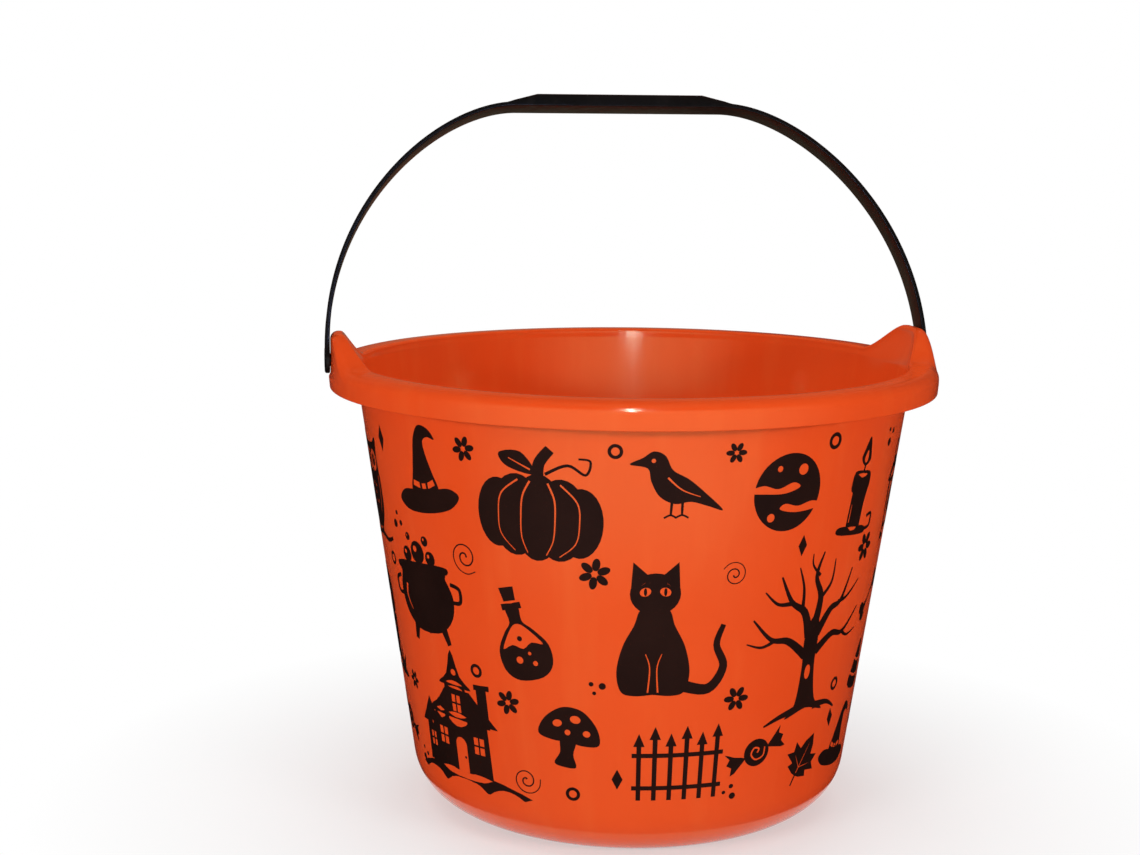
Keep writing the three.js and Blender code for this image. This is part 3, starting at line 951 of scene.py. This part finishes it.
# Camera
def make_camera():
    a = radians(CAMERA_AZIMUTH)
    h = radians(CAMERA_HEADING)
    p = radians(CAMERA_PITCH)
    forward = Vector((math.sin(h) * math.cos(p), math.cos(h) * math.cos(p), -math.sin(p)))
    right = Vector((math.cos(h), -math.sin(h), 0))
    up = right.cross(forward)
    turn = Matrix.Rotation(-radians(CAMERA_ROLL), 3, forward)
    right, up = turn @ right, turn @ up
    data = bpy.data.cameras.new("camera")
    data.sensor_width = SENSOR
    data.lens = CAMERA_LENS
    camera = bpy.data.objects.new("camera", data)
    rotation = Matrix((right, up, -forward)).transposed().to_4x4()
    place = Vector((
        -CAMERA_DISTANCE * math.sin(a),
        -CAMERA_DISTANCE * math.cos(a),
        RIM_HEIGHT + CAMERA_RISE,
    )) * MM
    camera.matrix_world = Matrix.Translation(place) @ rotation
    bpy.context.scene.collection.objects.link(camera)
    bpy.context.scene.camera = camera


# Materials. A noise has features to the metre, a detail and, where it isn't half, a roughness
CLOUD_NOISE = (14, 4)
GLOSS_NOISE = (45, 5)
SCUFF_NOISE = (60, 9, 0.75)
PEEL_NOISE = (420, 3)
FLOW_DETAIL = 3
FLOW_STRETCH = (1, 1, 0.06)
MOST = (0.3, 0.7)           # the range that most of a noise lies in
SHEEN_STREAK_RANGE = (0.52, 0.75)
# range of the flow noise that gets pale streaks, a sheen painted into the colour
SCUFF_RANGE = (0.62, 0.72)
PEEL_DEPTH = 0.1
FLOW_DEPTH = 0.6
ORANGE = {
    "color": (0.79, 0.073, 0.0112),
    "deep": (0.76, 0.066, 0.0095),
    # the pale tone serves scuff wear and the painted sheen streaks; the streak share sets how strong that
    # painted sheen is
    "pale_sheen_and_wear": (0.82, 0.107, 0.020),
    "flow": 90,
    "sheen_streaks": 0.35,
    "fading": 0.25,
    "gloss": (0.11, 0.17),
    "dulling": 0.12,
    "specular": 0.65,
    "tint": (0.85, 0.97, 0.41),
    "peel": 0.12,
}
BLACK = {
    "color": (0.0036, 0.0034, 0.0032),
    "deep": (0.0060, 0.0054, 0.0050),
    # the pale tone serves scuff wear and the painted sheen streaks; the streak share sets how strong that
    # painted sheen is
    "pale_sheen_and_wear": (0.016, 0.014, 0.013),
    "flow": 200,
    "sheen_streaks": 0.3,
    "fading": 0.5,
    "gloss": (0.30, 0.42),
    "dulling": 0.15,
    "specular": 0.22,
    "tint": (1.0, 1.0, 1.0),
    "peel": 0.25,
}
INK = (0.0125, 0.0042, 0.0030)
INK_CLOUD = (0.019, 0.0062, 0.0042)
INK_CLOUD_NOISE = (40, 4)
INK_THIN = (0.10, 0.018, 0.007)
SPECK_NOISE = (900, 4, 0.7)
SPECK_RANGE = (0.66, 0.74)
SPECK_SHARE = 0.5
INK_GLOSS = (0.42, 0.55)
INK_GLOSS_NOISE = (70, 4)
INK_SPECULAR = 0.06
INK_PEEL = 0.15
INK_PEEL_NOISE = (700, 3)


def new_material(name):
    material = bpy.data.materials.new(name)
    material.use_nodes = True
    return material, material.node_tree, material.node_tree.nodes["Principled BSDF"]


def set_inputs(shader, values):
    for name, value in values.items():
        shader.inputs[name].default_value = value


def noise(tree, scale, detail, roughness=0.5, stretch=(1, 1, 1)):
    """Noise over the object's own space."""
    place = tree.nodes.new("ShaderNodeTexCoord")
    mapping = tree.nodes.new("ShaderNodeMapping")
    mapping.inputs["Scale"].default_value = stretch
    texture = tree.nodes.new("ShaderNodeTexNoise")
    set_inputs(texture, {"Scale": scale, "Detail": detail, "Roughness": roughness})
    tree.links.new(place.outputs["Object"], mapping.inputs["Vector"])
    tree.links.new(mapping.outputs["Vector"], texture.inputs["Vector"])
    return texture.outputs["Fac"]


def ranged(tree, value, source, result):
    """The value, turned from one range into another and cut off at its ends."""
    node = tree.nodes.new("ShaderNodeMapRange")
    set_inputs(node, dict(zip(("From Min", "From Max", "To Min", "To Max"), source + result)))
    tree.links.new(value, node.inputs["Value"])
    return node.outputs["Result"]


def calculated(tree, operation, *values):
    """The result of a sum, where each value is a number or a socket."""
    node = tree.nodes.new("ShaderNodeMath")
    node.operation = operation
    for socket, value in zip(node.inputs, values):
        if isinstance(value, float):
            socket.default_value = value
        else:
            tree.links.new(value, socket)
    return node.outputs["Value"]


def mixed(tree, share, first, second):
    """A colour between two, each of them a colour or a socket."""
    node = tree.nodes.new("ShaderNodeMix")
    node.data_type = "RGBA"
    tree.links.new(share, node.inputs["Factor"])
    for socket, value in ((node.inputs["A"], first), (node.inputs["B"], second)):
        if isinstance(value, tuple):
            socket.default_value = (*value, 1)
        else:
            tree.links.new(value, socket)
    return node.outputs["Result"]


def bumped(tree, height, strength, depth, under=None):
    node = tree.nodes.new("ShaderNodeBump")
    set_inputs(node, {"Strength": strength, "Distance": depth * MM})
    tree.links.new(height, node.inputs["Height"])
    if under is not None:
        tree.links.new(under, node.inputs["Normal"])
    return node.outputs["Normal"]


def make_plastic(name, look):
    """Moulded plastic: clouded colour, flow lines down the wall, pale streaks along them that paint a
    streaky sheen into the colour, a faint orange peel and dull scuffs.
    """
    material, tree, shader = new_material(name)
    clouds = ranged(tree, noise(tree, *CLOUD_NOISE), MOST, (0, 1))
    color = mixed(tree, clouds, look["color"], look["deep"])
    flow = noise(tree, look["flow"], FLOW_DETAIL, stretch=FLOW_STRETCH)
    # pale streaks along the flow lines: a painted sheen standing in for streaky reflections
    sheen_streaks = ranged(tree, flow, SHEEN_STREAK_RANGE, (0, look["sheen_streaks"]))
    color = mixed(tree, sheen_streaks, color, look["pale_sheen_and_wear"])
    scuffs = ranged(tree, noise(tree, *SCUFF_NOISE), SCUFF_RANGE, (0, 1))
    faded = ranged(tree, scuffs, (0, 1), (0, look["fading"]))
    color = mixed(tree, faded, color, look["pale_sheen_and_wear"])
    gloss = ranged(tree, noise(tree, *GLOSS_NOISE), MOST, look["gloss"])
    dulled = calculated(tree, "MULTIPLY_ADD", scuffs, look["dulling"], gloss)
    peel = bumped(tree, noise(tree, *PEEL_NOISE), look["peel"], PEEL_DEPTH)
    lines = bumped(tree, flow, look["peel"] * 2, FLOW_DEPTH, peel)
    tree.links.new(color, shader.inputs["Base Color"])
    tree.links.new(dulled, shader.inputs["Roughness"])
    tree.links.new(lines, shader.inputs["Normal"])
    set_inputs(shader, {"Specular IOR Level": look["specular"], "Specular Tint": (*look["tint"], 1)})
    return material


def make_ink():
    """Printed film: a warm black that is thinner in specks, so that the orange comes through faintly."""
    material, tree, shader = new_material("print_ink")
    clouds = ranged(tree, noise(tree, *INK_CLOUD_NOISE), MOST, (0, 1))
    specks = ranged(tree, noise(tree, *SPECK_NOISE), SPECK_RANGE, (0, SPECK_SHARE))
    color = mixed(tree, specks, mixed(tree, clouds, INK, INK_CLOUD), INK_THIN)
    gloss = ranged(tree, noise(tree, *INK_GLOSS_NOISE), MOST, INK_GLOSS)
    peel = bumped(tree, noise(tree, *INK_PEEL_NOISE), INK_PEEL, PEEL_DEPTH)
    tree.links.new(color, shader.inputs["Base Color"])
    tree.links.new(gloss, shader.inputs["Roughness"])
    tree.links.new(peel, shader.inputs["Normal"])
    set_inputs(shader, {"Specular IOR Level": INK_SPECULAR})
    return material


def make_pieces():
    pail = make_pail()
    handle = make_handle()
    pattern = make_print()
    pail.data.materials.append(make_plastic("orange_polypropylene", ORANGE))
    handle.data.materials.append(make_plastic("black_plastic", BLACK))
    pattern.data.materials.append(make_ink())
    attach(pail, "pail_body")
    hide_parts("pail")
    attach(handle, "handle_body")
    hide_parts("handle")
    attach(pattern, "pail_body")


# Studio
FLOOR_SIZE = 6000
FLOOR_DROP = 0.1
FLOOR_COLOR = (0.92, 0.92, 0.92, 1)
FLOOR_ROUGHNESS = 0.8
FLOOR_CLEAR = 90            # from this distance of the axis on, the floor fades to plain white
FLOOR_FADE = 240            # which it reaches at this distance
FLOOR_GLOW = 0.45           # share of the plain white before that
AMBIENT = 0.37
LAMP_DISTANCE = 1400
LAMP_TARGET = (0, 0, 120)
LAMPS = (
    # name, azimuth, elevation, width, height, watts
    ("left", -50, 14, 500, 100, 6.4),
    ("middle", -10, 14, 500, 100, 0.9),
    ("right", 40, 14, 500, 100, 6.5),
    ("overhead", -20, 75, 800, 800, 3.6),
    ("back_left", -155, 35, 800, 800, 3.5),
    ("back_right", 150, 35, 800, 800, 3.5),
)

# Narrow bright card that makes the small bright spot on the front of the rim
CARD_AZIMUTH = -11.2
CARD_RADIUS = 240
CARD_LEVELS = (227, 336)
CARD_WIDTH = 5
CARD_COLOR = (0.46, 0.54, 1.0)
CARD_STRENGTH = 135

# Screen that stands round the pail, which only reflections see
SCREEN_HOLE = 87.5          # radius of the hole in its floor
SCREEN_RADIUS = 250
SCREEN_LEVELS = (0.2, 30, 60, 180, 190, 210, 235, 260, 285, 310, 340)
SCREEN_STEPS = 72
SCREEN_COLOR = (0.02, 0.02, 0.02, 1)
SCREEN_ROUGHNESS = 0.9
FRONT_AZIMUTH = -11.3       # it is white in front, and darkens towards the sides and the top
FRONT_HALF = 14
FRONT_FADE = 54
FRONT_LOW = 0.27            # share of the white at the floor, which is full at the height after it
FRONT_RISE = 60
FRONT_TOP = 235
TOP_FADE = 60
BACK_HALF = 14              # low at the back it is a dim grey, which the underside of the handle shows
BACK_FADE = 16
BACK_TOP = 200
BACK_TONE = (0.17, 0.145, 0.09)
GLOW_HALF = 45              # and orange above that, which the lip of the rim shows
GLOW_FADE = 25
GLOW_TONE = (0.55, 0.08, 0.02)


def seen_white(tree):
    """1 for the rays from the camera and for those that mirrors and glass send on."""
    path = tree.nodes.new("ShaderNodeLightPath")
    value = calculated(tree, "MAXIMUM", path.outputs["Is Camera Ray"], path.outputs["Is Glossy Ray"])
    return calculated(tree, "MAXIMUM", value, path.outputs["Is Transmission Ray"])


def make_world():
    world = bpy.data.worlds.new("studio")
    world.use_nodes = True
    tree = world.node_tree
    background = tree.nodes["Background"]
    background.inputs["Color"].default_value = (1, 1, 1, 1)
    strength = ranged(tree, seen_white(tree), (0, 1), (AMBIENT, 1))
    tree.links.new(strength, background.inputs["Strength"])
    bpy.context.scene.world = world


def make_floor():
    half = FLOOR_SIZE / 2
    corners = [(-half, -half, 0), (half, -half, 0), (half, half, 0), (-half, half, 0)]
    floor = new_piece("floor", corners, [(0, 1, 2, 3)])
    floor.location.z = -FLOOR_DROP * MM
    material, tree, shader = new_material("floor_white")
    set_inputs(shader, {"Base Color": FLOOR_COLOR, "Roughness": FLOOR_ROUGHNESS})
    place = tree.nodes.new("ShaderNodeTexCoord")
    length = tree.nodes.new("ShaderNodeVectorMath")
    length.operation = "LENGTH"
    tree.links.new(place.outputs["Object"], length.inputs[0])
    fade = (FLOOR_CLEAR * MM, FLOOR_FADE * MM)
    far = ranged(tree, length.outputs["Value"], fade, (FLOOR_GLOW, 1))
    glow = tree.nodes.new("ShaderNodeEmission")
    mix = tree.nodes.new("ShaderNodeMixShader")
    tree.links.new(calculated(tree, "MULTIPLY", far, seen_white(tree)), mix.inputs["Fac"])
    tree.links.new(shader.outputs["BSDF"], mix.inputs[1])
    tree.links.new(glow.outputs["Emission"], mix.inputs[2])
    tree.links.new(mix.outputs["Shader"], tree.nodes["Material Output"].inputs["Surface"])
    floor.data.materials.append(material)


def reflected_only(piece):
    piece.visible_camera = False
    piece.visible_diffuse = False
    piece.visible_shadow = False
    piece.visible_transmission = False


def screen_color(azimuth, level):
    front = 1 - smoothstep((abs(azimuth - FRONT_AZIMUTH) - FRONT_HALF) / FRONT_FADE)
    front *= lerp(FRONT_LOW, 1, smoothstep(level / FRONT_RISE))
    front *= 1 - smoothstep((level - FRONT_TOP) / TOP_FADE)
    from_back = 180 - abs(azimuth)
    if level < BACK_TOP:
        back = 1 - smoothstep((from_back - BACK_HALF) / BACK_FADE)
        tone = BACK_TONE
    else:
        back = 1 - smoothstep((from_back - GLOW_HALF) / GLOW_FADE)
        tone = GLOW_TONE
    return tuple(max(front, back * part) for part in tone)


def make_screen():
    """A round screen with a dark roof, lit from within."""
    profile = [(SCREEN_HOLE, SCREEN_LEVELS[0])] + [(SCREEN_RADIUS, level) for level in SCREEN_LEVELS]
    rows = len(profile)
    points = []
    colors = []
    faces = []
    for i in range(SCREEN_STEPS):
        azimuth = 360 * i / SCREEN_STEPS - 180
        a = radians(azimuth - 90)
        for radius, level in profile:
            points.append((radius * math.cos(a), radius * math.sin(a), level))
            colors += [*screen_color(azimuth, level), 1]
        here = rows * i
        after = rows * ((i + 1) % SCREEN_STEPS)
        faces += [(here + j, after + j, after + j + 1, here + j + 1) for j in range(rows - 1)]
    faces.append(tuple(rows * i + rows - 1 for i in range(SCREEN_STEPS)))
    screen = new_piece("screen", points, faces)
    tone = screen.data.color_attributes.new("tone", "FLOAT_COLOR", "POINT")
    tone.data.foreach_set("color", colors)
    material, tree, shader = new_material("screen_tone")
    set_inputs(shader, {"Base Color": SCREEN_COLOR, "Roughness": SCREEN_ROUGHNESS, "Emission Strength": 1})
    source = tree.nodes.new("ShaderNodeVertexColor")
    source.layer_name = "tone"
    tree.links.new(source.outputs["Color"], shader.inputs["Emission Color"])
    screen.data.materials.append(material)
    reflected_only(screen)


def make_card():
    a = radians(CARD_AZIMUTH - 90)
    x, y = CARD_RADIUS * math.cos(a), CARD_RADIUS * math.sin(a)
    dx, dy = CARD_WIDTH / 2 * math.sin(a), -CARD_WIDTH / 2 * math.cos(a)
    low, high = CARD_LEVELS
    corners = [(x - dx, y - dy, low), (x + dx, y + dy, low), (x + dx, y + dy, high), (x - dx, y - dy, high)]
    card = new_piece("card", corners, [(0, 1, 2, 3)])
    material, _, shader = new_material("card_white")
    set_inputs(shader, {
        "Base Color": (0, 0, 0, 1),
        "Emission Color": (*CARD_COLOR, 1),
        "Emission Strength": CARD_STRENGTH,
    })
    card.data.materials.append(material)
    reflected_only(card)


def make_lamps():
    """Lamps that reflections don't see, as those show the screen and the card."""
    for name, azimuth, elevation, width, height, watts in LAMPS:
        a, e = radians(azimuth), radians(elevation)
        away = Vector((math.sin(a) * math.cos(e), -math.cos(a) * math.cos(e), math.sin(e)))
        data = bpy.data.lights.new(name, "AREA")
        data.shape = "RECTANGLE"
        data.size = width * MM
        data.size_y = height * MM
        data.energy = watts
        lamp = bpy.data.objects.new(name, data)
        lamp.location = (Vector(LAMP_TARGET) + away * LAMP_DISTANCE) * MM
        lamp.rotation_mode = "QUATERNION"
        lamp.rotation_quaternion = (-away).to_track_quat("-Z", "Y")
        lamp.visible_camera = False
        lamp.visible_glossy = False
        bpy.context.scene.collection.objects.link(lamp)


make_pieces()
make_world()
make_floor()
make_screen()
make_card()
make_lamps()
make_camera()

bpy.context.scene.view_settings.view_transform = "Standard"
